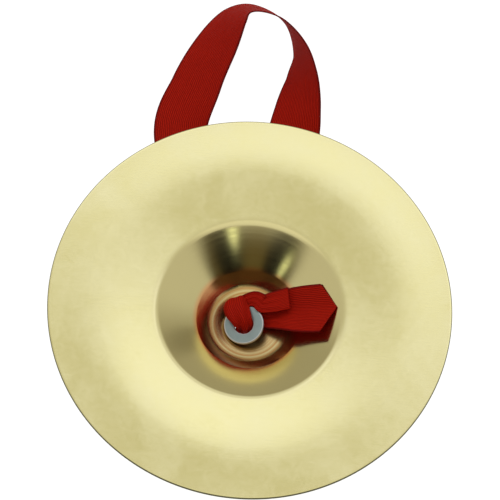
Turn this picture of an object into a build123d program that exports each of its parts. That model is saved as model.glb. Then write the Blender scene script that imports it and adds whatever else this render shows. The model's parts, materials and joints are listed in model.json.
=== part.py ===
"""Hand cymbal of a finger cymbal pair: a dished brass plate with its ribbon finger strap.

Frame: +Z runs along the axis of the cymbal, out of its hollow side. The origin is where that
axis meets the plane of the flat striking ring. The strap leaves the bell underneath and lies
along +Y. Lengths are in millimetres and angles in degrees.
"""

import os
from math import cos, hypot, radians, sin, sqrt, tan

from build123d import *

# Cymbal, on its hollow side
rim_diameter = 90.0
sheet = 0.8
ring_width = 6.5  # flat striking ring, inside the rim
crease_width = 10.5  # soft bend between the ring and the sloping part of the flange
flange_slope = 2.0
lip_radius = 21.5  # where the flange turns down into the bell
lip_round = 3.0
wall_slope = 30.0  # of the wall of the bell, at the lip
wall_foot_slope = 36.0  # of the wall, which is slightly curved, above the step
step_slope = 43.0  # of the steeper step round the bottom of the bell
step_radius = 11.6  # upper end of the straight part of the step
step_round_top = 3.0
step_round_foot = 3.0
dome_radius = 8.4  # in plan, of the domed bottom of the bell
dome_slope = 20.0  # at the edge of the dome
hole_radius = 3.0
rim_round = 0.2

# Washer, which keeps the knot from slipping out of the bell
washer_radius = 4.5
washer_bore = 2.15  # radius
washer_thickness = 0.8
washer_round = 0.12
washer_tilt = 14.0
washer_lean = 215.0  # bearing from +X of the side that the washer faces
washer_offset = (-0.95, -0.65)
washer_seat_gap = 0.12

# Ribbon strap, a single strip whose two ends pass together through the hole
ribbon_width = 12.0
ribbon_thickness = 0.5
layer_gap = 0.1
strap_clearance = 0.3  # between the strap and the underside of the bell
stem_radius = 1.6  # both layers gathered in the hole
neck_start = 2.8  # from the hinge line to the ends of the loop
neck_width = 5.0
wrap_clearance = 0.15  # between the knot and the washer

# Knot, measured in the plane of the washer
knot_size = (5.1, 7.2, 2.2)
knot_centre = (-1.5, 2.2)
roll_size = (4.4, 1.8, 3.2)
roll_centre_x = 1.0
fold_size = (4.8, 6.0, 1.6)
fold_overhang = 0.9  # of the fold past the edge of the washer
fold_centre_y = 3.4
knot_round = 0.7

# Tails, the two cut ends of the ribbon
tail_gap = 0.3  # between the knot's fold and the tails
tail_root_clearance = 0.75  # between the tails and the dome at their fold
tail_bell_gap = 0.2  # least gap between the long tail and the wall of the bell
tail_heading = -3.5  # seen from above, from +X
tail_root_y = 2.9
tail_root_width = 7.9
tail_spread = 4.0  # length over which the tail opens to the ribbon's width
long_tail_length = 15.4
short_tail_length = 4.2
short_tail_width = 5.6
tail_end_skew = (4.3, 2.0)  # how far the cut end's two corners fall short of its tip
tail_layer_gap = 0.3
short_tail_start = 1.6  # from the fold of the tails


def dome_height(radius):
    """Height of the domed bottom above its lowest point, at a distance from the axis."""
    curve = dome_radius / sin(radians(dome_slope))
    return curve - sqrt(curve**2 - radius**2)


def hollow_height(stations, radius):
    """Height of the hollow side at a distance from the axis, never below the true surface."""
    if radius <= dome_radius:
        return stations[0][1] + dome_height(radius)
    for (r0, z0, slope0), (r1, z1, slope1) in zip(stations[1:], stations[2:]):
        if radius <= r1:
            chord = z0 + (z1 - z0) * (radius - r0) / (r1 - r0)
            bulge = (r1 - r0) * abs(tan(radians(slope1 - slope0) / 4)) / 2
            return chord + bulge
    return 0.0


def bell_stations():
    """Where the hollow side changes curve: (radius, height, slope), from the axis to the rim."""
    stations = [(0.0, 0.0, 0.0)]

    def bend(radius, slope):
        """Curve of the given radius that ends at the given slope."""
        r, z, last = stations[-1]
        side = 1 if slope > last else -1
        run = side * radius * (sin(radians(slope)) - sin(radians(last)))
        rise = side * radius * (cos(radians(last)) - cos(radians(slope)))
        stations.append((r + run, z + rise, slope))

    def straight(end_radius):
        """Straight stretch on the last slope, out to the given distance from the axis."""
        r, z, slope = stations[-1]
        stations.append((end_radius, z + (end_radius - r) * tan(radians(slope)), slope))

    ring_start = rim_diameter / 2 - ring_width
    bend(dome_radius / sin(radians(dome_slope)), dome_slope)
    bend(step_round_foot, step_slope)
    straight(step_radius)
    bend(step_round_top, wall_foot_slope)
    wall_end = lip_radius - lip_round * (sin(radians(wall_slope)) - sin(radians(flange_slope)))
    turn = sin(radians(wall_foot_slope)) - sin(radians(wall_slope))
    bend((wall_end - stations[-1][0]) / turn, wall_slope)
    bend(lip_round, flange_slope)
    straight(ring_start - crease_width)
    bend(crease_width / sin(radians(flange_slope)), 0.0)
    straight(rim_diameter / 2)
    ring_height = stations[-1][1]
    return [(r, z - ring_height, slope) for r, z, slope in stations]


def sheet_line(stations, depth):
    """Edges of the line that keeps one depth below the hollow side."""

    def below(r, z, slope):
        return Vector(r + depth * sin(radians(slope)), 0, z - depth * cos(radians(slope)))

    edges = []
    for (r0, z0, slope0), (r1, z1, slope1) in zip(stations, stations[1:]):
        start, end = below(r0, z0, slope0), below(r1, z1, slope1)
        if slope0 == slope1:
            edges.append(Line(start, end))
            continue
        middle = (slope0 + slope1) / 2
        curve = (r1 - r0) / (sin(radians(slope1)) - sin(radians(slope0)))
        r = r0 + curve * (sin(radians(middle)) - sin(radians(slope0)))
        z = z0 + curve * (cos(radians(slope0)) - cos(radians(middle)))
        edges.append(ThreePointArc(start, below(r, z, middle), end))
    return edges


def make_cymbal(stations):
    """Dished plate of even thickness, turned about the axis, with the strap hole in its bell."""
    hollow, back = sheet_line(stations, 0), sheet_line(stations, sheet)
    centre = Line(back[0] @ 0, hollow[0] @ 0)
    rim = Line(hollow[-1] @ 1, back[-1] @ 1)
    section = make_face([centre, *hollow, rim, *back])
    plate = revolve(section, Axis.Z)
    circles = plate.edges().filter_by(GeomType.CIRCLE)
    plate = fillet([c for c in circles if c.radius > (rim_diameter - rim_round) / 2], rim_round)
    return plate - Cylinder(hole_radius, 4 * (sheet - stations[0][1]))


def washer_plane(bell_bottom):
    """Middle plane of the washer, which leans on the dome with the edge on its lower side."""
    reach = washer_radius * cos(radians(washer_tilt)) + hypot(*washer_offset)
    lift = washer_radius * sin(radians(washer_tilt)) + washer_thickness / 2 * cos(radians(washer_tilt))
    height = bell_bottom + dome_height(reach) + washer_seat_gap + lift
    facing = Vector(0, 0, 1).rotate(Axis.Y, washer_tilt).rotate(Axis.Z, washer_lean)
    return Plane(origin=(*washer_offset, height), x_dir=(1, 0, 0), z_dir=facing)


def make_ring(outer, bore, thickness):
    """Plain ring about its own axis, halved by its middle plane."""
    return Cylinder(outer, thickness) - Cylinder(bore, thickness)


def make_washer(plane):
    """Flat washer with its edges slightly rounded by stamping."""
    ring = make_ring(washer_radius, washer_bore, washer_thickness)
    return plane * fillet(ring.edges().filter_by(GeomType.CIRCLE), washer_round)


def pillow(size, centre):
    """Rounded block whose lower face is at the given centre."""
    block = Pos(*centre) * Box(*size, align=(Align.CENTER, Align.CENTER, Align.MIN))
    return fillet(block.edges(), min(knot_round, 0.45 * min(size)))


def make_knot(plane, hinge_height):
    """Bunched ribbon: a stem up through hole and washer, a knot over it and a fold beneath it."""
    face = washer_thickness / 2 + wrap_clearance
    foot = Vector(0, 0, hinge_height - 0.1)
    head = plane.from_local_coords((0, 0, face + knot_size[2] / 2))
    stem = Plane(origin=foot, z_dir=head - foot) * Cylinder(
        stem_radius, (head - foot).length, align=(Align.CENTER, Align.CENTER, Align.MIN)
    )
    over = plane * pillow(knot_size, (*knot_centre, face))
    roll_y = washer_radius + wrap_clearance + roll_size[1] / 2
    roll = plane * pillow(roll_size, (roll_centre_x, roll_y, -roll_size[2] / 2))
    fold_x = washer_radius + fold_overhang - fold_size[0] / 2
    fold = plane * pillow(fold_size, (fold_x, fold_centre_y, -face - fold_size[2]))
    room = plane * make_ring(
        washer_radius + wrap_clearance, washer_bore - wrap_clearance, washer_thickness + 2 * wrap_clearance
    )
    return stem + over + roll + fold - room


def tail_outline():
    """Corners of the long tail, in its own plane, from its fold to its uneven pointed end."""
    far, near = tail_end_skew
    half_root, half = tail_root_width / 2, ribbon_width / 2 - 0.2
    return [
        (0, -half_root),
        (tail_spread, -half),
        (long_tail_length - near, -half),
        (long_tail_length, 0.1 * ribbon_width),
        (long_tail_length - far, half),
        (tail_spread / 2, half),
        (0, half_root),
    ]


def tail_plane(stations, seat):
    """Plane of the tails, which rise from their fold just steeply enough to clear the bell."""
    fold_foot = -(washer_thickness / 2 + wrap_clearance + fold_size[2])
    fold_corner = seat.from_local_coords((washer_radius + fold_overhang, fold_centre_y, fold_foot))
    root_x = fold_corner.X + tail_gap
    root_reach = hypot(root_x, tail_root_y + tail_root_width / 2)
    root_height = hollow_height(stations, root_reach) + tail_root_clearance + ribbon_thickness / 2
    root = Vector(root_x, tail_root_y, root_height)
    across = Vector(0, 1, 0).rotate(Axis.Z, tail_heading)

    def plane_at(rise):
        """Plane through the fold at the given rise."""
        along = Vector(1, 0, 0).rotate(Axis.Y, -rise).rotate(Axis.Z, tail_heading)
        return Plane(origin=root, x_dir=along, z_dir=along.cross(across))

    def clears(plane):
        """Whether the underside stays clear of the bell along every edge of the long tail."""
        corners = tail_outline()
        for (x0, y0), (x1, y1) in zip(corners, corners[1:] + corners[:1]):
            for part in range(9):
                x, y = x0 + (x1 - x0) * part / 8, y0 + (y1 - y0) * part / 8
                point = plane.from_local_coords((x, y, -ribbon_thickness / 2))
                reach = hypot(point.X, point.Y)
                if point.Z < hollow_height(stations, reach) + tail_bell_gap:
                    return False
        return True

    rise = 0.0
    while rise < 80 and not clears(plane_at(rise)):
        rise += 0.5
    return plane_at(rise)


def make_long_tail(plane):
    """Ribbon end that opens from its fold to full width."""
    outline = Polyline(*tail_outline(), close=True)
    return plane * extrude(make_face(outline), ribbon_thickness / 2, both=True)


def make_short_tail(plane):
    """Shorter ribbon end, lying over the long one."""
    middle = short_tail_start + short_tail_length / 2
    rise = ribbon_thickness + tail_layer_gap
    return plane * Pos(middle, 0, rise) * Box(short_tail_length, short_tail_width, ribbon_thickness)


def loop_stations(left_layer):
    """Stations round the finger loop: (x, y, base, lean, width), from one end to the other.

    The lean of the ribbon goes from flat through upright, where the loop turns back, to flat.
    The base is how far the lower edge is above the lowest layer.
    """
    reach = rim_diameter / 2
    return [
        (-0.3, neck_start, left_layer, 0, neck_width),
        (-4.5, 0.27 * reach, left_layer, 0, 0.75 * ribbon_width),
        (-12.0, 0.62 * reach, left_layer, 0, ribbon_width),
        (-18.6, reach - 1, left_layer / 2, 2, ribbon_width),
        (-17.4, reach + 12, 0, 20, ribbon_width),
        (-13.5, reach + 21, 0, 40, ribbon_width),
        (-7.5, reach + 28, 0, 56, ribbon_width),
        (0.5, reach + 27, 0, 68, ribbon_width),
        (5.0, reach + 21, 0, 98, ribbon_width),
        (6.0, reach + 14, 0, 132, ribbon_width),
        (5.9, reach + 7, 0, 158, ribbon_width),
        (5.4, reach - 3, 0, 176, ribbon_width),
        (3.4, 0.58 * reach, 0, 180, ribbon_width),
        (1.6, 0.27 * reach, 0, 180, 0.75 * ribbon_width),
        (0.3, neck_start, 0, 180, neck_width),
    ]


def smooth(stations, steps):
    """Stations with more between them, on a curve that passes through each one."""
    ends = [stations[0], *stations, stations[-1]]
    result = []
    for before, start, end, after in zip(ends, ends[1:], ends[2:], ends[3:]):
        for step in range(steps):
            u = step / steps
            weights = (
                (-u + 2 * u**2 - u**3) / 2,
                (2 - 5 * u**2 + 3 * u**3) / 2,
                (u + 4 * u**2 - 3 * u**3) / 2,
                (u**3 - u**2) / 2,
            )
            values = zip(before, start, end, after)
            result.append([sum(w * v for w, v in zip(weights, four)) for four in values])
    return result + [list(stations[-1])]


def make_loop(floor, left_layer):
    """Finger loop: the ribbon lofted through its stations, standing on its edge at the far end."""
    stations = smooth(loop_stations(left_layer), 2)
    sections = []
    for index, (x, y, base, lean, width) in enumerate(stations):
        x0, y0 = stations[max(index - 1, 0)][:2]
        x1, y1 = stations[min(index + 1, len(stations) - 1)][:2]
        along = Vector(x1 - x0, y1 - y0, 0).normalized()
        inward = Vector(along.Y, -along.X, 0)
        up = Vector(0, 0, 1)
        across = inward * cos(radians(lean)) + up * sin(radians(lean))
        outward = along.cross(across)
        rise = sin(radians(lean)) * (width - ribbon_thickness) / 2
        height = floor + ribbon_thickness / 2 + base + rise
        middle = Vector(x, y, height)
        a, b = across * (width / 2), outward * (ribbon_thickness / 2)
        sections.append(Wire.make_polygon([middle - a - b, middle + a - b, middle + a + b, middle - a + b]))
    return Solid.make_loft(sections, ruled=True)


os.makedirs("parts", exist_ok=True)
profile = bell_stations()
bottom = profile[0][1]
upper_layer = ribbon_thickness + layer_gap
loop_floor = bottom - sheet - strap_clearance - ribbon_thickness - upper_layer
hinge = loop_floor + (ribbon_thickness + upper_layer) / 2
seat = washer_plane(bottom)
fold_plane = tail_plane(profile, seat)

nodes = {
    "cymbal": make_cymbal(profile),
    "washer": make_washer(seat),
    "strap_knot": make_knot(seat, hinge),
    "strap_loop": make_loop(loop_floor, upper_layer),
    "strap_tail_long": make_long_tail(fold_plane),
    "strap_tail_short": make_short_tail(fold_plane),
}
for name, shape in nodes.items():
    shape.label = name
    export_step(shape, f"parts/{name}.step")

print("bell bottom", round(bottom, 3), "loop floor", round(loop_floor, 3), "hinge", round(hinge, 3))
print("washer centre", seat.origin, "faces", seat.z_dir)
print("tail fold", fold_plane.origin, "hinge along", -fold_plane.y_dir)
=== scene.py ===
"""Finger cymbal: a spun brass plate, a steel washer and a knotted red ribbon strap.

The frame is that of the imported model, in metres: +Z comes out of the hollow side of the plate,
the finger loop lies along +Y and the cut ends of the ribbon lie along +X. The sizes written
below are in millimetres, and each piece is scaled to metres once it has its shape.
"""
import json
from math import asin, cos, degrees, hypot, pi, radians, sin, sqrt, tan

import bmesh
import bpy
from mathutils import Matrix, Vector


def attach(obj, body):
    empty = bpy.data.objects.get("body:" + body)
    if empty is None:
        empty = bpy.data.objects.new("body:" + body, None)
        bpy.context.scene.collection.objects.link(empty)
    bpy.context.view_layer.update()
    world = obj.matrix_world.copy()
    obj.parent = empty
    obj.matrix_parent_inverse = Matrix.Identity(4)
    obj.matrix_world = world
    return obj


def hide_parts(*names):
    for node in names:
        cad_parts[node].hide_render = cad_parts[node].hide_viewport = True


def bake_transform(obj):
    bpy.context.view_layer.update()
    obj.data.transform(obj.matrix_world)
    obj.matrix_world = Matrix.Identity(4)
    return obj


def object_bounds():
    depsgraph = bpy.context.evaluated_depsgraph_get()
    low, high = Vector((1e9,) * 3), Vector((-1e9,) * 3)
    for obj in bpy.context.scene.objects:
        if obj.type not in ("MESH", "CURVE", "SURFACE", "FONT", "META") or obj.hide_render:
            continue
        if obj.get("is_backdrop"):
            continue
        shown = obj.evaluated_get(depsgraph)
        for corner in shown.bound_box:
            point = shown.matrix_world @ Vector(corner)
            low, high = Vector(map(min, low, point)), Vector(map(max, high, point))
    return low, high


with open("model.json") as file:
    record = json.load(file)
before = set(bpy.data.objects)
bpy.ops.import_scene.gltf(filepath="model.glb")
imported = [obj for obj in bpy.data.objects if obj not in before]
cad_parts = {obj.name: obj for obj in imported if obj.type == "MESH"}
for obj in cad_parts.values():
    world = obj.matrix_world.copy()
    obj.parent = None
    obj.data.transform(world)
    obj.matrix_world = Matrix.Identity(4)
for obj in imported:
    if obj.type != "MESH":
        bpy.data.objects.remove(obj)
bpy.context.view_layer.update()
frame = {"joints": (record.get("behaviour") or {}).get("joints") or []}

scene = bpy.context.scene
METRES = 0.001

# Plate, on its hollow side
rim_radius = 45.0
sheet = 0.8
ring_width = 6.5
crease_width = 10.5
flange_slope = 2.0
lip_radius = 21.5
lip_round = 3.0
wall_slope = 30.0
wall_foot_slope = 36.0
step_slope = 43.0
step_round_foot = 3.0
step_round_top = 3.0
step_radius = 11.6
dome_radius = 8.4
dome_slope = 20.0
hole_radius = 3.0
edge_round = 0.2

# Plate, in its shading: from and to are distances from the axis
bell_from, bell_to = 22.4, 20.2
dome_from, dome_to = 12.8, 8.6
step_outer_from, step_outer_to = 12.9, 11.5
step_inner_from, step_inner_to = 9.0, 10.4
swell_from, swell_to, swell_height = 19, 34, 0.2
fall_from, fall_to, fall_height = 33, 48, 0.3
# Painted reflection: brown on the dome, standing in for the ribbon reflected there.
dome_painted_reflection = (0.58, 0.33, 0.11)
# Painted reflection: copper red on the step ring, standing in for the red ribbon reflected there.
step_ribbon_reflection = (0.92, 0.38, 0.16)
worn_edge_tone = (0.20, 0.19, 0.10)

# Washer
washer_radius = 4.5
washer_bore = 2.15
washer_thickness = 0.8

# Ribbon
ribbon_width = 12.0
cloth_thickness = 0.28


# ---------------------------------------------------------------- pieces in general

def to_piece(name, bm, material, body):
    """Turns a shaped bmesh, in millimetres, into a finished smooth piece that rides a body."""
    bmesh.ops.scale(bm, vec=(METRES, METRES, METRES), verts=bm.verts)
    mesh = bpy.data.meshes.new(name)
    bm.to_mesh(mesh)
    bm.free()
    for face in mesh.polygons:
        face.use_smooth = True
    piece = bpy.data.objects.new(name, mesh)
    scene.collection.objects.link(piece)
    mesh.materials.append(material)
    if body:
        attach(piece, body)
    return piece


def thicken(piece, thickness):
    """Gives a flat cloth piece its thickness, half to each side."""
    wall = piece.modifiers.new("cloth_thickness", "SOLIDIFY")
    wall.thickness = thickness * METRES
    wall.offset = 0.0
    wall.use_even_offset = False


# ---------------------------------------------------------------- plate

def run_straight(bm, tip, end_radius, slope, parts):
    """Extrudes the tip of the section along its slope, out to a distance from the axis."""
    run = (end_radius - tip.co.x) / parts
    for _ in range(parts):
        tip = bmesh.ops.extrude_vert_indiv(bm, verts=[tip])["verts"][0]
        bmesh.ops.translate(bm, verts=[tip], vec=(run, 0, run * tan(radians(slope))))
    return tip


def run_bend(bm, tip, radius, start_slope, end_slope, parts):
    """Spins the tip of the section round a bend, from one slope to the next."""
    side = 1 if end_slope > start_slope else -1
    centre = tip.co + radius * side * Vector((-sin(radians(start_slope)), 0, cos(radians(start_slope))))
    turned = bmesh.ops.spin(bm, geom=[tip], cent=centre, axis=(0, -side, 0), dvec=(0, 0, 0),
                            angle=abs(radians(end_slope - start_slope)), steps=parts)
    return next(part for part in turned["geom_last"] if isinstance(part, bmesh.types.BMVert))


def spin_plate():
    """Hollow side of the plate, from the strap hole to the rim, spun and given its thickness."""
    bm = bmesh.new()
    dome_curve = dome_radius / sin(radians(dome_slope))
    hole_slope = degrees(asin(hole_radius / dome_curve))
    tip = bm.verts.new((hole_radius, 0, dome_curve * (1 - cos(radians(hole_slope)))))
    tip = run_bend(bm, tip, dome_curve, hole_slope, dome_slope, 14)
    tip = run_bend(bm, tip, step_round_foot, dome_slope, step_slope, 8)
    tip = run_straight(bm, tip, step_radius, step_slope, 4)
    tip = run_bend(bm, tip, step_round_top, step_slope, wall_foot_slope, 10)
    lip_run = lip_round * (sin(radians(wall_slope)) - sin(radians(flange_slope)))
    wall_turn = sin(radians(wall_foot_slope)) - sin(radians(wall_slope))
    tip = run_bend(bm, tip, (lip_radius - lip_run - tip.co.x) / wall_turn, wall_foot_slope, wall_slope, 12)
    tip = run_bend(bm, tip, lip_round, wall_slope, flange_slope, 14)
    ring_start = rim_radius - ring_width
    tip = run_straight(bm, tip, ring_start - crease_width, flange_slope, 8)
    tip = run_bend(bm, tip, crease_width / sin(radians(flange_slope)), flange_slope, 0, 16)
    tip = run_straight(bm, tip, rim_radius - 0.5, 0, 8)
    tip = run_straight(bm, tip, rim_radius, 0, 1)
    bmesh.ops.translate(bm, verts=bm.verts, vec=(0, 0, -tip.co.z))
    bmesh.ops.spin(bm, geom=bm.verts[:] + bm.edges[:], cent=(0, 0, 0), axis=(0, 0, 1),
                   dvec=(0, 0, 0), angle=2 * pi, steps=288, use_merge=True)
    bmesh.ops.remove_doubles(bm, verts=bm.verts, dist=0.001)
    bmesh.ops.recalc_face_normals(bm, faces=bm.faces)
    if sum(face.normal.z for face in bm.faces) < 0:
        bmesh.ops.reverse_faces(bm, faces=bm.faces)
    bmesh.ops.solidify(bm, geom=bm.faces[:], thickness=sheet)
    return bm


def outer_edges(bm, nearest, furthest):
    """Sharp circular edges whose distance from the axis lies between two radii."""
    return [edge for edge in bm.edges
            if all(nearest < hypot(vert.co.x, vert.co.y) < furthest for vert in edge.verts)
            and edge.is_manifold and edge.calc_face_angle() > radians(50)]


def make_plate(material):
    """Brass plate with its rim and its strap hole slightly rounded."""
    bm = spin_plate()
    bmesh.ops.bevel(bm, geom=outer_edges(bm, rim_radius - 0.2, rim_radius + 0.2), offset=edge_round,
                    offset_type="OFFSET", segments=3, profile=0.5, affect="EDGES", material=-1)
    bmesh.ops.bevel(bm, geom=outer_edges(bm, hole_radius - 0.3, hole_radius + 0.3), offset=0.1,
                    offset_type="OFFSET", segments=2, profile=0.5, affect="EDGES", material=-1)
    plate = to_piece("brass_plate", bm, material, "plate")
    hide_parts("cymbal")
    return plate


# ---------------------------------------------------------------- washer

spin_joint = next(joint for joint in frame["joints"] if joint["name"] == "washer_spin")
washer_centre = Vector(spin_joint["pos_m"]) / METRES
washer_normal = Vector(spin_joint["axis"]).normalized()
washer_right = (Vector((1, 0, 0)) - washer_normal * washer_normal.x).normalized()
washer_up = washer_normal.cross(washer_right)


def on_washer(right, up, above):
    """Point of the frame at a place on the washer, counted from its centre."""
    return washer_centre + washer_right * right + washer_up * up + washer_normal * above


def make_washer(material):
    """Stamped washer: its upper edges are rolled over and its lower ones nearly sharp."""
    bm = bmesh.new()
    corners = [bm.verts.new((radius, 0, height)) for radius, height in (
        (washer_bore, -washer_thickness / 2), (washer_radius, -washer_thickness / 2),
        (washer_radius, washer_thickness / 2), (washer_bore, washer_thickness / 2))]
    section = bm.faces.new(corners)
    bmesh.ops.spin(bm, geom=[section, *section.edges, *section.verts], cent=(0, 0, 0),
                   axis=(0, 0, 1), dvec=(0, 0, 0), angle=2 * pi, steps=120, use_merge=True)
    bmesh.ops.remove_doubles(bm, verts=bm.verts, dist=0.001)
    inner = [face for face in bm.faces if abs(face.normal.z) < 0.01 and abs(
        face.normal.dot(face.calc_center_median())) < 0.01]
    bmesh.ops.delete(bm, geom=inner, context="FACES")
    bmesh.ops.recalc_face_normals(bm, faces=bm.faces)
    for height, roll, parts in ((washer_thickness / 2, 0.19, 4), (-washer_thickness / 2, 0.05, 1)):
        rims = [edge for edge in bm.edges if edge.is_manifold
                and all(abs(vert.co.z - height) < 0.001 for vert in edge.verts)
                and edge.calc_face_angle() > radians(60)]
        bmesh.ops.bevel(bm, geom=rims, offset=roll, offset_type="OFFSET", segments=parts,
                        profile=0.5, affect="EDGES", material=-1)
    turn = Matrix((washer_right, washer_up, washer_normal)).transposed().to_4x4()
    bmesh.ops.transform(bm, matrix=Matrix.Translation(washer_centre) @ turn, verts=bm.verts)
    washer = to_piece("steel_washer", bm, material, "washer")
    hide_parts("washer")
    return washer


# ---------------------------------------------------------------- ribbon in general

def between(stations, place):
    """Values at a place along stations, on a curve that passes through each of them."""
    last = len(stations) - 1
    index = min(int(place), last - 1)
    u = place - index
    picked = [stations[max(0, min(last, index + step))] for step in (-1, 0, 1, 2)]
    weights = ((-u + 2 * u**2 - u**3) / 2, (2 - 5 * u**2 + 3 * u**3) / 2,
               (u + 4 * u**2 - 3 * u**3) / 2, (u**3 - u**2) / 2)
    return [sum(w * v for w, v in zip(weights, four)) for four in zip(*picked)]


class RibbonLine:
    """Line that a ribbon follows: stations of x, y, z, heading, lean and width across.

    Heading is the bearing of the ribbon's width and lean is how far its width is tipped up.
    """

    def __init__(self, stations):
        self.stations = stations
        steps = 40 * (len(stations) - 1)
        self.places = [step / 40 for step in range(steps + 1)]
        points = [Vector(between(stations, place)[:3]) for place in self.places]
        self.runs = [0.0]
        for start, end in zip(points, points[1:]):
            self.runs.append(self.runs[-1] + (end - start).length)
        self.length = self.runs[-1]

    def place_at(self, run):
        """Place among the stations, at a distance along the line."""
        run = min(max(run, 0.0), self.length)
        low, high = 0, len(self.runs) - 1
        while high - low > 1:
            middle = (low + high) // 2
            if self.runs[middle] <= run:
                low = middle
            else:
                high = middle
        share = (run - self.runs[low]) / max(self.runs[high] - self.runs[low], 1e-9)
        return self.places[low] + share * (self.places[high] - self.places[low])

    def frame_at(self, run):
        """Centre, unit vector across, unit normal and width at a distance along the line."""
        place = self.place_at(run)
        x, y, z, heading, lean, width = between(self.stations, place)[:6]
        last = len(self.stations) - 1
        ahead = Vector(between(self.stations, min(place + 0.02, last))[:3])
        behind = Vector(between(self.stations, max(place - 0.02, 0))[:3])
        along = (ahead - behind).normalized()
        h, l = radians(heading), radians(lean)
        across = Vector((cos(h) * cos(l), sin(h) * cos(l), sin(l)))
        across = (across - along * across.dot(along)).normalized()
        return Vector((x, y, z)), across, along.cross(across), width


def lay_ribbon(name, line, cut_length, cut_width, section, material, body, cuts=(), fine=0.5):
    """Cuts a flat strip, keeps its flat size as its UV map, and lays it along a line.

    The section says, for a share of the length and a place across the cut width, how far the
    cloth is from the line across and along the normal, in millimetres.
    """
    bm = bmesh.new()
    bmesh.ops.create_grid(bm, x_segments=max(8, round(cut_length / fine)), y_segments=32, size=0.5)
    bmesh.ops.translate(bm, verts=bm.verts, vec=(0.5, 0, 0))
    bmesh.ops.scale(bm, vec=(cut_length, cut_width, 1), verts=bm.verts)
    for point, outward in cuts:
        bmesh.ops.bisect_plane(bm, geom=bm.verts[:] + bm.edges[:] + bm.faces[:], dist=0.01,
                               plane_co=(*point, 0), plane_no=(*outward, 0), clear_outer=True)
    cut = bm.loops.layers.uv.new("flat_ribbon")
    for face in bm.faces:
        for corner in face.loops:
            corner[cut].uv = corner.vert.co.xy
    for vert in bm.verts:
        run, aside = vert.co.x, vert.co.y
        centre, across, normal, width = line.frame_at(run / cut_length * line.length)
        a, n = section(run / cut_length, aside, width)
        vert.co = centre + across * a + normal * n
    bmesh.ops.recalc_face_normals(bm, faces=bm.faces)
    ribbon = to_piece(name, bm, material, body)
    thicken(ribbon, cloth_thickness)
    return ribbon


def ease(low, high, value):
    """Rises smoothly from 0 to 1 as the value goes from low to high."""
    u = min(max((value - low) / (high - low), 0.0), 1.0)
    return u * u * (3 - 2 * u)


# ---------------------------------------------------------------- finger loop

reach = rim_radius
loop_line = RibbonLine([
    (0.1, 0.5, -9.4, 8, 0, 2.6),
    (0.0, 0.9, -10.6, 8, 0, 2.8),
    (-0.2, 1.9, -11.5, 12, 0, 3.6),
    (-1.2, 4.4, -11.75, 20, 0, 5.6),
    (-4.5, 0.27 * reach, -11.75, 24, 0, 9.4),
    (-12.0, 0.62 * reach, -11.8, 22, 0, 12),
    (-19.3, reach - 0.5, -11.95, 16, 2, 12),
    (-17.0, reach + 11.5, -10.2, -5, 19, 12.1),
    (-13.5, reach + 20.8, -8.6, -27, 31, 12.2),
    (-10.0, reach + 27.6, -7.2, -54, 47, 12.4),
    (-5.8, reach + 29.9, -6.5, -88, 60, 12.4),
    (0.6, reach + 27.8, -6.4, -88, 67, 12.3),
    (5.2, reach + 21.4, -6.9, -50, 64, 12),
    (6.4, reach + 15.6, -8.2, -38, 46, 12),
    (6.3, reach + 9, -9.8, -28, 27, 12),
    (5.6, reach - 0.5, -11.7, -12, 8, 12),
    (3.4, 0.58 * reach, -12.3, -7, 0, 12),
    (1.6, 0.27 * reach, -12.35, -5, 0, 9.4),
    (0.6, 4.0, -12.3, -4, 0, 5.6),
    (0.2, 1.2, -12.2, -2, 0, 4.2),
    (-0.3, -1.1, -12.1, -1, 0, 4.4),
    (-0.7, -1.75, -11.1, -1, 0, 3.6),
    (-0.9, -1.6, -10.0, -1, 0, 3.6),
    (-0.9, -1.5, -9.0, -1, 0, 3.4),
])


def loop_section(share, aside, width):
    """Flat over most of the loop, with a soft crown, and pleated where it is gathered."""
    half = ribbon_width / 2
    spread = aside * width / ribbon_width
    gathered = 1 - ease(5.0, 11.0, width)
    pleats = 0.32 * gathered * cos(2 * pi * aside / 3.4 + 5 * share)
    crown = 0.18 * (1 - (aside / half) ** 2) * sin(9 * share)
    return spread, crown + pleats


def make_loop(material):
    """Finger loop, from the hole out round and back, then up the hole into the washer's bore."""
    loop = lay_ribbon("finger_loop", loop_line, loop_line.length, ribbon_width, loop_section,
                      material, None)
    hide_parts("strap_loop")
    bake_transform(loop)
    return loop


# ---------------------------------------------------------------- knot

def washer_station(right, up, above, bearing, lean, width):
    """Station of a ribbon line given on the washer."""
    return (*on_washer(right, up, above), bearing, lean, width)


wrap_line = RibbonLine([
    washer_station(0.1, 0.1, -2.6, 197, 0, 2.9),
    washer_station(0.1, 0.1, -0.9, 197, 0, 3.0),
    washer_station(0.05, 0.25, 0.3, 197, 0, 3.3),
    washer_station(-0.4, 0.9, 1.25, 200, 0, 4.2),
    washer_station(-1.3, 2.2, 1.65, 204, 0, 5.3),
    washer_station(-2.0, 3.7, 1.35, 206, 0, 5.3),
    washer_station(-2.1, 4.8, 0.4, 204, 0, 4.5),
    washer_station(-1.8, 5.1, -0.7, 200, 0, 3.8),
    washer_station(-0.9, 4.6, -1.6, 195, 0, 3.4),
])


def wrap_section(share, aside, width):
    """Rolled bundle with a few soft folds, its raw edges tucked underneath."""
    angle = 1.44 * pi * aside / ribbon_width
    arch = 1.35 - 0.15 * ease(0.15, 0.45, share)
    folds = 0.24 * sin(1.9 * aside + 6 * share) * (1 - 0.45 * ease(0.3, 0.7, share))
    return (width / 2 + folds) * sin(angle), (arch + folds) * cos(angle)


def make_wrap(material):
    """Ribbon pulled up through the washer and folded back over its edge."""
    wrap = lay_ribbon("knot_wrap", wrap_line, wrap_line.length, ribbon_width, wrap_section,
                      material, "strap", fine=0.25)
    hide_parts("strap_knot")
    return wrap


# ---------------------------------------------------------------- tails

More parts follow.
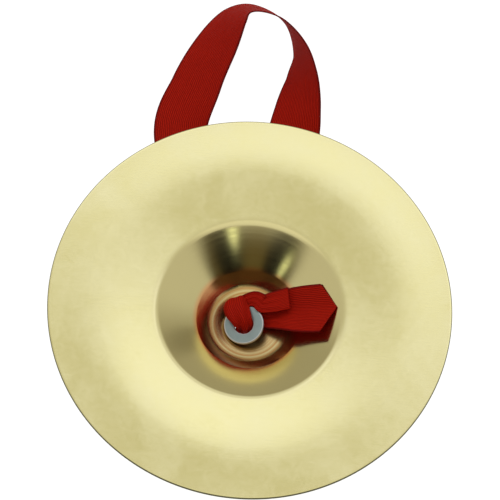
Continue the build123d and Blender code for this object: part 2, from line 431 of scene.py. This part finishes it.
long_line = RibbonLine([
    (-0.2, 0.2, -9.3, 88, 0, 3.4),
    (0.8, 1.2, -9.0, 88, 0, 5.0),
    (2.4, 2.3, -8.6, 88, 0, 6.6),
    (4.6, 2.8, -7.85, 87, 0, 8.0),
    (7.6, 2.9, -6.5, 87, 0, 9.8),
    (11.0, 2.7, -4.95, 87, 0, 11.2),
    (15.0, 2.4, -2.8, 87, 0, 11.9),
    (18.9, 2.2, -0.6, 87, 0, 12.0),
])


def long_section(share, aside, width):
    """Folded into a shallow valley beside its middle, and pleated at its root."""
    spread = aside * width / ribbon_width
    valley = 0.27 * sqrt((aside - 0.9) ** 2 + 0.25) * ease(0.15, 0.55, share) - 0.5
    pleats = 0.3 * (1 - ease(0.05, 0.5, share)) * cos(2 * pi * aside / 3.0)
    return spread, valley + pleats


def make_long_tail(material):
    """Longer cut end of the ribbon, with an uneven pointed cut."""
    cut = long_line.length
    cuts = [((cut, 0.7), (0.9, -0.33)), ((cut, 0.7), (0.76, 0.62))]
    tail = lay_ribbon("long_tail", long_line, cut, ribbon_width, long_section, material, None,
                      cuts=cuts, fine=0.3)
    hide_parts("strap_tail_long")
    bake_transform(tail)
    return tail


short_line = RibbonLine([
    (-1.6, 4.6, -7.9, 90, 0, 2.8),
    (0.6, 5.1, -7.0, 80, 0, 3.4),
    (1.9, 4.7, -6.6, 75, 0, 3.6),
    (2.9, 4.1, -6.7, 80, 0, 4.2),
    (5.2, 4.5, -5.9, 86, 0, 4.9),
    (8.4, 5.2, -4.5, 86, 0, 5.3),
])


def short_section(share, aside, width):
    """Folded in half along its length, with the fold on the nearer side."""
    across = abs(aside) / (ribbon_width / 2) * width - width / 2
    gap = 0.22 + 0.1 * sin(6 * share)
    side = 1 if aside > 0 else -1
    swell = sqrt(min(1.0, abs(aside) / 0.5))
    ripple = 0.18 * cos(3.2 * abs(aside) + 2 * share) * (1 - ease(0.5, 1.0, share))
    return across, side * gap * swell + ripple


def make_short_tail(material):
    """Shorter cut end, folded lengthwise, from the lobe behind the washer."""
    tail = lay_ribbon("short_tail", short_line, short_line.length, ribbon_width, short_section,
                      material, None, fine=0.25)
    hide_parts("strap_tail_short")
    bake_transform(tail)
    return tail


# ---------------------------------------------------------------- materials

def add(tree, kind, label=None, **settings):
    """Adds a shader node; numbered settings fill its inputs and named ones its properties."""
    node = tree.nodes.new("ShaderNode" + kind)
    if label:
        node.label = label
    for key, value in settings.items():
        setattr(node, key, value)
    return node


def fill(node, **values):
    """Sets unlinked inputs of a node by name, with spaces written as underscores."""
    for key, value in values.items():
        node.inputs[key.replace("_", " ")].default_value = value
    return node


def join(tree, source, target):
    """Links an output to an input."""
    tree.links.new(source, target)


def math(tree, operation, a, b=None, c=None):
    """Math node whose inputs are numbers or outputs; returns its output."""
    node = add(tree, "Math", operation=operation)
    for index, value in enumerate((a, b, c)):
        if value is None:
            continue
        if isinstance(value, (int, float)):
            node.inputs[index].default_value = value
        else:
            tree.links.new(value, node.inputs[index])
    return node.outputs[0]


def new_group(name, inputs, outputs):
    """Node group with named sockets; returns the tree and its two end nodes."""
    tree = bpy.data.node_groups.new(name, "ShaderNodeTree")
    for label, kind, value in inputs:
        socket = tree.interface.new_socket(label, in_out="INPUT", socket_type="NodeSocket" + kind)
        if value is not None:
            socket.default_value = value
    for label, kind in outputs:
        tree.interface.new_socket(label, in_out="OUTPUT", socket_type="NodeSocket" + kind)
    return tree, tree.nodes.new("NodeGroupInput"), tree.nodes.new("NodeGroupOutput")


def place_group(tree, group, **values):
    """Puts a node group in a material with its own values."""
    node = tree.nodes.new("ShaderNodeGroup")
    node.node_tree = group
    return fill(node, **values)


def turning_lines_group():
    """Fine concentric lines left by turning, as a height and a mask, from the distance to the axis."""
    tree, start, end = new_group("turning_lines", [
        ("Radius", "Float", 0.0), ("Pitch", "Float", 0.4), ("Unevenness", "Float", 0.6)],
        [("Height", "Float"), ("Mask", "Float")])
    turns = math(tree, "DIVIDE", start.outputs["Radius"], start.outputs["Pitch"])
    coarse = add(tree, "TexNoise", noise_dimensions="1D")
    fill(coarse, Scale=1.0, Detail=4.0, Roughness=0.7)
    join(tree, turns, coarse.inputs["W"])
    wave = math(tree, "SINE", math(tree, "MULTIPLY", turns, 2 * pi))
    wave = math(tree, "MULTIPLY", wave, math(tree, "SUBTRACT", 1.0, start.outputs["Unevenness"]))
    rough = math(tree, "MULTIPLY", math(tree, "SUBTRACT", coarse.outputs[0], 0.5), 2.4)
    rough = math(tree, "MULTIPLY", rough, start.outputs["Unevenness"])
    join(tree, math(tree, "ADD", wave, rough), end.inputs["Height"])
    join(tree, coarse.outputs[0], end.inputs["Mask"])
    return tree


def fine_grain_group():
    """Very fine random surface grain with crossing hairline scratches, as a height and a mask."""
    tree, start, end = new_group("fine_grain", [
        ("Vector", "Vector", None), ("Scale", "Float", 3.0), ("Scratches", "Float", 0.5)],
        [("Height", "Float"), ("Mask", "Float")])
    grain = add(tree, "TexNoise")
    fill(grain, Detail=5.0, Roughness=0.65)
    join(tree, start.outputs["Vector"], grain.inputs["Vector"])
    join(tree, start.outputs["Scale"], grain.inputs["Scale"])
    hairs = []
    for turn in (12, 71, -38):
        aim = add(tree, "Mapping")
        fill(aim, Rotation=(0, 0, radians(turn)), Scale=(0.08, 2.6, 1.0))
        join(tree, start.outputs["Vector"], aim.inputs["Vector"])
        line = add(tree, "TexNoise")
        fill(line, Detail=3.0, Roughness=0.6)
        join(tree, aim.outputs[0], line.inputs["Vector"])
        join(tree, start.outputs["Scale"], line.inputs["Scale"])
        hairs.append(line.outputs[0])
    total = math(tree, "ADD", math(tree, "ADD", hairs[0], hairs[1]), hairs[2])
    total = math(tree, "SUBTRACT", math(tree, "MULTIPLY", total, 1 / 3), 0.5)
    total = math(tree, "MULTIPLY", total, start.outputs["Scratches"])
    height = math(tree, "ADD", math(tree, "SUBTRACT", grain.outputs[0], 0.5), total)
    join(tree, height, end.inputs["Height"])
    join(tree, grain.outputs[0], end.inputs["Mask"])
    return tree


def handling_marks_group():
    """Broad cloudy patches and small smudges left by hands and polish, as one mask."""
    tree, start, end = new_group("handling_marks", [
        ("Vector", "Vector", None), ("Size", "Float", 0.06), ("Amount", "Float", 1.0)],
        [("Mask", "Float")])
    cloud = add(tree, "TexNoise")
    fill(cloud, Detail=3.0, Roughness=0.5, Distortion=0.6)
    join(tree, start.outputs["Vector"], cloud.inputs["Vector"])
    join(tree, start.outputs["Size"], cloud.inputs["Scale"])
    small = add(tree, "TexNoise")
    fill(small, Detail=6.0, Roughness=0.6, Distortion=1.2)
    join(tree, start.outputs["Vector"], small.inputs["Vector"])
    join(tree, math(tree, "MULTIPLY", start.outputs["Size"], 6.0), small.inputs["Scale"])
    mix = math(tree, "ADD", math(tree, "MULTIPLY", cloud.outputs[0], 0.65),
               math(tree, "MULTIPLY", small.outputs[0], 0.35))
    mix = math(tree, "MULTIPLY", math(tree, "SUBTRACT", mix, 0.5), start.outputs["Amount"])
    join(tree, math(tree, "ADD", mix, 0.5), end.inputs["Mask"])
    return tree


def ribbon_weave_group():
    """Close warp threads along the ribbon, finer weft across it, and a firm selvedge."""
    tree, start, end = new_group("ribbon_weave", [
        ("UV", "Vector", None), ("Warp Pitch", "Float", 0.42), ("Weft Pitch", "Float", 0.24),
        ("Half Width", "Float", 6.0)],
        [("Height", "Float"), ("Thread", "Float"), ("Streak", "Float"), ("Selvedge", "Float")])
    parts = add(tree, "SeparateXYZ")
    join(tree, start.outputs["UV"], parts.inputs[0])
    length, width = parts.outputs[0], parts.outputs[1]
    warp = math(tree, "DIVIDE", width, start.outputs["Warp Pitch"])
    weft = math(tree, "DIVIDE", length, start.outputs["Weft Pitch"])
    sway = add(tree, "TexNoise")
    fill(sway, Scale=0.35, Detail=2.0)
    join(tree, start.outputs["UV"], sway.inputs["Vector"])
    sway_amount = math(tree, "MULTIPLY", math(tree, "SUBTRACT", sway.outputs[0], 0.5), 1.4)
    warp = math(tree, "ADD", warp, sway_amount)
    ridge = math(tree, "ABSOLUTE", math(tree, "SINE", math(tree, "MULTIPLY", warp, pi)))
    row = math(tree, "MULTIPLY", math(tree, "FLOOR", warp), 0.5)
    pick = math(tree, "ABSOLUTE", math(tree, "SINE", math(
        tree, "MULTIPLY", math(tree, "ADD", weft, row), pi)))
    height = math(tree, "MULTIPLY", ridge, math(tree, "ADD", math(tree, "MULTIPLY", pick, 0.45), 0.55))
    join(tree, height, end.inputs["Height"])
    join(tree, math(tree, "MULTIPLY", ridge, pick), end.inputs["Thread"])
    long_streak = add(tree, "Mapping")
    fill(long_streak, Scale=(0.06, 2.2, 1.0))
    join(tree, start.outputs["UV"], long_streak.inputs["Vector"])
    streak = add(tree, "TexNoise")
    fill(streak, Scale=1.0, Detail=4.0, Roughness=0.65)
    join(tree, long_streak.outputs[0], streak.inputs["Vector"])
    join(tree, streak.outputs[0], end.inputs["Streak"])
    edge = math(tree, "SUBTRACT", start.outputs["Half Width"], math(tree, "ABSOLUTE", width))
    fade = add(tree, "MapRange", interpolation_type="SMOOTHSTEP")
    fill(fade, From_Min=0.55, From_Max=0.2, To_Min=0.0, To_Max=1.0)
    join(tree, edge, fade.inputs["Value"])
    join(tree, fade.outputs[0], end.inputs["Selvedge"])
    return tree


def blend_colour(tree, mask, first, second, method="MIX"):
    """Mixes two colours by a mask; each is a tuple or an output."""
    node = add(tree, "Mix", data_type="RGBA", blend_type=method)
    for socket, value in ((node.inputs[0], mask), (node.inputs[6], first), (node.inputs[7], second)):
        if isinstance(value, (int, float)):
            socket.default_value = value
        elif isinstance(value, tuple):
            socket.default_value = (*value, 1.0)
        else:
            join(tree, value, socket)
    return node.outputs[2]


def scaled_range(tree, value, from_low, from_high, to_low, to_high):
    """Linear range from one pair of numbers to another."""
    node = add(tree, "MapRange")
    fill(node, From_Min=from_low, From_Max=from_high, To_Min=to_low, To_Max=to_high)
    join(tree, value, node.inputs["Value"])
    return node.outputs[0]


def smooth_range(tree, value, low, high):
    """Smooth step from 0 at low to 1 at high."""
    node = add(tree, "MapRange", interpolation_type="SMOOTHSTEP")
    fill(node, From_Min=low, From_Max=high, To_Min=0.0, To_Max=1.0)
    join(tree, value, node.inputs["Value"])
    return node.outputs[0]


def bump(tree, height, strength, distance, normal=None):
    """Bump of a height given in millimetres; returns its normal."""
    node = add(tree, "Bump")
    fill(node, Strength=strength, Distance=distance * METRES)
    join(tree, height, node.inputs["Height"])
    if normal:
        join(tree, normal, node.inputs["Normal"])
    return node.outputs[0]


def new_material(name):
    """Empty material with a Principled shader; returns the material, its tree and the shader."""
    material = bpy.data.materials.new(name)
    material.use_nodes = True
    tree = material.node_tree
    return material, tree, tree.nodes["Principled BSDF"]


def millimetres(tree):
    """Object coordinates in millimetres."""
    coords = add(tree, "TexCoord")
    scale = add(tree, "Mapping")
    fill(scale, Scale=(1000, 1000, 1000))
    join(tree, coords.outputs["Object"], scale.inputs["Vector"])
    return scale.outputs[0]


def spun_brass(groups):
    """Pale brass: satin flange, polished bell with some painted shade in its hollow, and a dull edge
    darkened by wear.

    The dome carries a brown painted reflection along its turned lines, and the step round it a copper-red
    painted reflection of the ribbon.
    """
    material, tree, shader = new_material("spun_brass")
    place = millimetres(tree)
    parts = add(tree, "SeparateXYZ")
    join(tree, place, parts.inputs[0])
    flat = add(tree, "CombineXYZ")
    join(tree, parts.outputs[0], flat.inputs[0])
    join(tree, parts.outputs[1], flat.inputs[1])
    size = add(tree, "VectorMath", operation="LENGTH")
    join(tree, flat.outputs[0], size.inputs[0])
    radius = size.outputs["Value"]
    bell = math(tree, "SUBTRACT", 1.0, smooth_range(tree, radius, bell_to, bell_from))
    dome = math(tree, "SUBTRACT", 1.0, smooth_range(tree, radius, dome_to, dome_from))
    edge = smooth_range(tree, radius, rim_radius - 0.28, rim_radius - 0.02)

    turned = place_group(tree, groups["turning_lines"], Pitch=0.55, Unevenness=0.7)
    join(tree, radius, turned.inputs["Radius"])
    grain = place_group(tree, groups["fine_grain"], Scale=2.2, Scratches=1.4)
    join(tree, place, grain.inputs["Vector"])
    marks = place_group(tree, groups["handling_marks"], Size=0.07, Amount=2.4)
    join(tree, place, marks.inputs["Vector"])

    tone = blend_colour(tree, marks.outputs["Mask"], (0.84, 0.75, 0.33), (0.94, 0.86, 0.46))
    tone = blend_colour(tree, math(tree, "MULTIPLY", grain.outputs["Mask"], 0.18), tone, (0.80, 0.72, 0.36))
    # Darker brass over the bell: partly its own tone, partly painted shade in the hollow.
    tone = blend_colour(tree, bell, tone, (0.77, 0.68, 0.34))
    lines = scaled_range(tree, turned.outputs["Mask"], 0.35, 0.65, 0.35, 1.0)
    # Brown along the dome's turned lines: a painted reflection of the ribbon.
    tone = blend_colour(tree, math(tree, "MULTIPLY", dome, lines), tone, dome_painted_reflection)
    # Copper red on the step ring: a painted reflection of the ribbon.
    step = math(tree, "MULTIPLY", smooth_range(tree, radius, step_inner_from, step_inner_to),
                smooth_range(tree, radius, step_outer_from, step_outer_to))
    tone = blend_colour(tree, math(tree, "MULTIPLY", step, 0.7), tone, step_ribbon_reflection)
    tone = blend_colour(tree, edge, tone, worn_edge_tone)
    join(tree, tone, shader.inputs["Base Color"])

    satin = scaled_range(tree, marks.outputs["Mask"], 0.3, 0.7, 0.15, 0.20)
    polish = scaled_range(tree, turned.outputs["Mask"], 0.3, 0.7, 0.14, 0.18)
    polish = math(tree, "ADD", polish, math(tree, "MULTIPLY", dome, 0.09))
    rough = math(tree, "ADD", math(tree, "MULTIPLY", satin, math(tree, "SUBTRACT", 1.0, bell)),
                 math(tree, "MULTIPLY", polish, bell))
    rough = math(tree, "ADD", rough, math(tree, "MULTIPLY", edge, 0.25))
    join(tree, rough, shader.inputs["Roughness"])

    grain_height = math(tree, "MULTIPLY", grain.outputs["Height"],
                        math(tree, "SUBTRACT", 1.0, math(tree, "MULTIPLY", bell, 0.85)))
    turned_height = math(tree, "MULTIPLY", turned.outputs["Height"],
                         math(tree, "ADD", math(tree, "MULTIPLY", dome, 0.9), 0.1))
    # In shading alone the flange swells and the ring falls away; the mesh stays straight there.
    rise = math(tree, "MULTIPLY", smooth_range(tree, radius, swell_from, swell_to), swell_height)
    fall = math(tree, "MULTIPLY", smooth_range(tree, radius, fall_from, fall_to), fall_height)
    swell = math(tree, "SUBTRACT", rise, fall)
    rough_normal = bump(tree, grain_height, 0.35, 0.012, bump(tree, swell, 1.0, 1.0))
    join(tree, bump(tree, turned_height, 0.3, 0.012, rough_normal), shader.inputs["Normal"])
    fill(shader, Metallic=1.0)
    return material


def zinc_steel(groups):
    """Dull zinc on a stamped washer, with tumbling marks and a painted highlight along its rolled edges."""
    material, tree, shader = new_material("zinc_steel")
    place = millimetres(tree)
    grain = place_group(tree, groups["fine_grain"], Scale=5.0, Scratches=1.0)
    join(tree, place, grain.inputs["Vector"])
    marks = place_group(tree, groups["handling_marks"], Size=0.5, Amount=1.8)
    join(tree, place, marks.inputs["Vector"])
    offset = add(tree, "VectorMath", operation="DISTANCE")
    offset.inputs[1].default_value = washer_centre
    join(tree, place, offset.inputs[0])
    distance = offset.outputs["Value"]
    # Painted highlight: a lighter steel colour along the outer edge and the edge of the bore.
    edge_highlight = math(tree, "MAXIMUM", smooth_range(tree, distance, washer_radius - 0.42, washer_radius - 0.12),
                smooth_range(tree, distance, washer_bore + 0.36, washer_bore + 0.12))
    tone = blend_colour(tree, marks.outputs["Mask"], (0.27, 0.34, 0.34), (0.38, 0.44, 0.44))
    tone = blend_colour(tree, math(tree, "MULTIPLY", edge_highlight, 0.8), tone, (0.72, 0.70, 0.70))
    join(tree, tone, shader.inputs["Base Color"])
    join(tree, scaled_range(tree, grain.outputs["Mask"], 0.3, 0.7, 0.34, 0.5), shader.inputs["Roughness"])
    join(tree, bump(tree, grain.outputs["Height"], 0.4, 0.02), shader.inputs["Normal"])
    fill(shader, Metallic=1.0)
    return material


def red_ribbon(groups):
    """Red woven ribbon: fine lengthwise threads with painted highlights on their crowns and painted shade
    between them, a dark firm selvedge and hardly any sheen.
    """
    material, tree, shader = new_material("red_ribbon")
    flat = add(tree, "UVMap", uv_map="flat_ribbon")
    weave = place_group(tree, groups["ribbon_weave"], Warp_Pitch=0.42, Weft_Pitch=0.26)
    join(tree, flat.outputs[0], weave.inputs["UV"])
    marks = place_group(tree, groups["handling_marks"], Size=0.12, Amount=1.6)
    join(tree, millimetres(tree), marks.inputs["Vector"])
    dye_and_thread_light = blend_colour(tree, weave.outputs["Streak"], (0.33, 0.004, 0.001), (0.74, 0.018, 0.004))
    # Painted highlight: brighter red on the crowns of the threads.
    dye_and_thread_light = blend_colour(tree, math(tree, "MULTIPLY", weave.outputs["Thread"], 0.6), dye_and_thread_light,
                       (0.95, 0.035, 0.01))
    # Painted shade: darker red down between the threads.
    dye_and_thread_light = blend_colour(tree, weave.outputs["Height"], (0.24, 0.003, 0.001), dye_and_thread_light)
    dye_and_thread_light = blend_colour(tree, math(tree, "MULTIPLY", marks.outputs["Mask"], 0.25), dye_and_thread_light,
                       (0.25, 0.004, 0.004))
    dye_and_thread_light = blend_colour(tree, math(tree, "MULTIPLY", weave.outputs["Selvedge"], 0.75), dye_and_thread_light,
                       (0.14, 0.004, 0.006))
    join(tree, dye_and_thread_light, shader.inputs["Base Color"])
    join(tree, scaled_range(tree, weave.outputs["Thread"], 0.0, 1.0, 0.75, 0.5), shader.inputs["Roughness"])
    join(tree, bump(tree, weave.outputs["Height"], 0.7, 0.09), shader.inputs["Normal"])
    fill(shader, Sheen_Weight=0.02, Sheen_Roughness=0.4, Specular_IOR_Level=0.06)
    shader.inputs["Sheen Tint"].default_value = (1.0, 0.15, 0.1, 1.0)
    return material


def studio_floor_material():
    """Plain floor, white to the camera and dimmer as a light on the other pieces."""
    material, tree, shader = new_material("studio_floor")
    shader.inputs["Base Color"].default_value = (0.25, 0.25, 0.25, 1)
    fill(shader, Roughness=0.9, Specular_IOR_Level=0.0)
    seen = add(tree, "LightPath")
    join(tree, scaled_range(tree, seen.outputs["Is Camera Ray"], 0, 1, 0.45, 1.0),
         shader.inputs["Emission Strength"])
    shader.inputs["Emission Color"].default_value = (1, 1, 1, 1)
    return material


# ---------------------------------------------------------------- studio

def spot(tree, direction, azimuth, elevation, inner, outer):
    """Soft round patch of the surroundings, 1 inside one angle and 0 outside another."""
    a, e = radians(azimuth), radians(elevation)
    aim = add(tree, "VectorMath", operation="DOT_PRODUCT")
    aim.inputs[1].default_value = (cos(e) * cos(a), cos(e) * sin(a), sin(e))
    join(tree, direction, aim.inputs[0])
    return smooth_range(tree, aim.outputs["Value"], cos(radians(outer)), cos(radians(inner)))


def light_room():
    """Soft room: a broad light overhead and beyond, pale walls, and a dark side at the front."""
    world = bpy.data.worlds.new("studio_room")
    scene.world = world
    world.use_nodes = True
    tree = world.node_tree
    background = tree.nodes["Background"]
    coords = add(tree, "TexCoord")
    direction = coords.outputs["Generated"]
    parts = add(tree, "SeparateXYZ")
    join(tree, direction, parts.inputs[0])
    tilt = radians(22.0)
    beyond = math(tree, "SUBTRACT", math(tree, "MULTIPLY", parts.outputs[1], cos(tilt)),
                  math(tree, "MULTIPLY", parts.outputs[2], sin(tilt)))
    beyond = math(tree, "ADD", beyond, math(tree, "MULTIPLY", parts.outputs[0], 0.35))
    softbox = smooth_range(tree, beyond, -0.07, 0.09)
    further = math(tree, "MULTIPLY", smooth_range(tree, beyond, 0.14, 0.26), 0.55)
    softbox = math(tree, "MULTIPLY", softbox, math(tree, "SUBTRACT", 1.0, further))
    aside = math(tree, "ABSOLUTE", parts.outputs[0])
    softbox = math(tree, "MULTIPLY", softbox, smooth_range(tree, aside, 0.75, 0.2))
    softbox = math(tree, "MULTIPLY", softbox, smooth_range(tree, parts.outputs[2], 0.15, 0.6))
    room = blend_colour(tree, softbox, (0.64, 0.63, 0.58), (1.13, 1.17, 1.34))
    low = smooth_range(tree, parts.outputs[2], 0.45, 0.1)
    room = blend_colour(tree, low, room, (0.50, 0.50, 0.45))
    low_beyond = math(tree, "MULTIPLY", smooth_range(tree, parts.outputs[1], 0.25, 0.7),
                      smooth_range(tree, parts.outputs[2], 0.62, 0.4))
    room = blend_colour(tree, low_beyond, room, (0.42, 0.40, 0.34))
    front = math(tree, "SUBTRACT", math(tree, "MULTIPLY", parts.outputs[0], 0.08), parts.outputs[1])
    front = math(tree, "MULTIPLY", smooth_range(tree, front, 0.32, 0.50),
                 smooth_range(tree, parts.outputs[2], 0.82, 0.74))
    room = blend_colour(tree, front, room, (0.065, 0.048, 0.018))
    # Patches set one by one, so that their reflections in the bell fall where the picture has them
    for azimuth, elevation, inner, outer, amount, colour in (
            (-90, 81, 12, 26, 0.8, (0.92, 0.92, 0.88)),
            (-90, 42, 2, 14, 0.5, (0.15, 0.11, 0.04)),
            (-56, 38, 7, 16, 1.0, (0.004, 0.004, 0.003)),
            (-119, 38, 7, 16, 1.0, (0.006, 0.006, 0.005)),
            (-64, 49, 1.5, 4.5, 1.0, (1.4, 1.5, 1.1)),
            (-131, 40, 1.5, 4.5, 1.0, (1.2, 1.3, 0.9)),
            (47, 9, 3, 14, 0.55, (0.15, 0.13, 0.09))):
        patch = spot(tree, direction, azimuth, elevation, inner, outer)
        room = blend_colour(tree, math(tree, "MULTIPLY", patch, amount), room, colour)
    join(tree, room, background.inputs["Color"])
    background.inputs["Strength"].default_value = 1.0


def stand_on_floor(material):
    """Wide floor just under the strap."""
    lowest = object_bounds()[0].z
    bm = bmesh.new()
    bmesh.ops.create_grid(bm, x_segments=2, y_segments=2, size=1.5 / METRES)
    bmesh.ops.translate(bm, verts=bm.verts, vec=(0, 0, lowest / METRES))
    bmesh.ops.scale(bm, vec=(METRES, METRES, METRES), verts=bm.verts)
    mesh = bpy.data.meshes.new("studio_floor")
    bm.to_mesh(mesh)
    bm.free()
    floor = bpy.data.objects.new("studio_floor", mesh)
    scene.collection.objects.link(floor)
    mesh.materials.append(material)
    floor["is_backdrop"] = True


def place_camera():
    """Long lens, looking steeply down from the near side, turned a little on its axis."""
    elevation, roll, distance = radians(68.1), radians(5.72), 2.5
    shift_right, shift_up = 0.000035, 0.01303
    back = Vector((0, -cos(elevation), sin(elevation)))
    level_up = Vector((0, sin(elevation), cos(elevation)))
    right = cos(roll) * Vector((1, 0, 0)) + sin(roll) * level_up
    up = cos(roll) * level_up - sin(roll) * Vector((1, 0, 0))
    camera_data = bpy.data.cameras.new("camera")
    camera_data.lens = 811
    camera_data.sensor_width = 36
    camera_data.clip_start, camera_data.clip_end = 0.1, 10
    camera = bpy.data.objects.new("camera", camera_data)
    scene.collection.objects.link(camera)
    place = back * distance + right * shift_right + up * shift_up
    turn = Matrix((right, up, back)).transposed().to_4x4()
    camera.matrix_world = Matrix.Translation(place) @ turn
    scene.camera = camera


# ---------------------------------------------------------------- everything together

groups = {"turning_lines": turning_lines_group(), "fine_grain": fine_grain_group(),
          "handling_marks": handling_marks_group(), "ribbon_weave": ribbon_weave_group()}
brass, steel, cloth = spun_brass(groups), zinc_steel(groups), red_ribbon(groups)
make_plate(brass)
make_washer(steel)
make_loop(cloth)
make_wrap(cloth)
make_long_tail(cloth)
make_short_tail(cloth)
stand_on_floor(studio_floor_material())
light_room()
place_camera()
scene.view_settings.view_transform = "Standard"
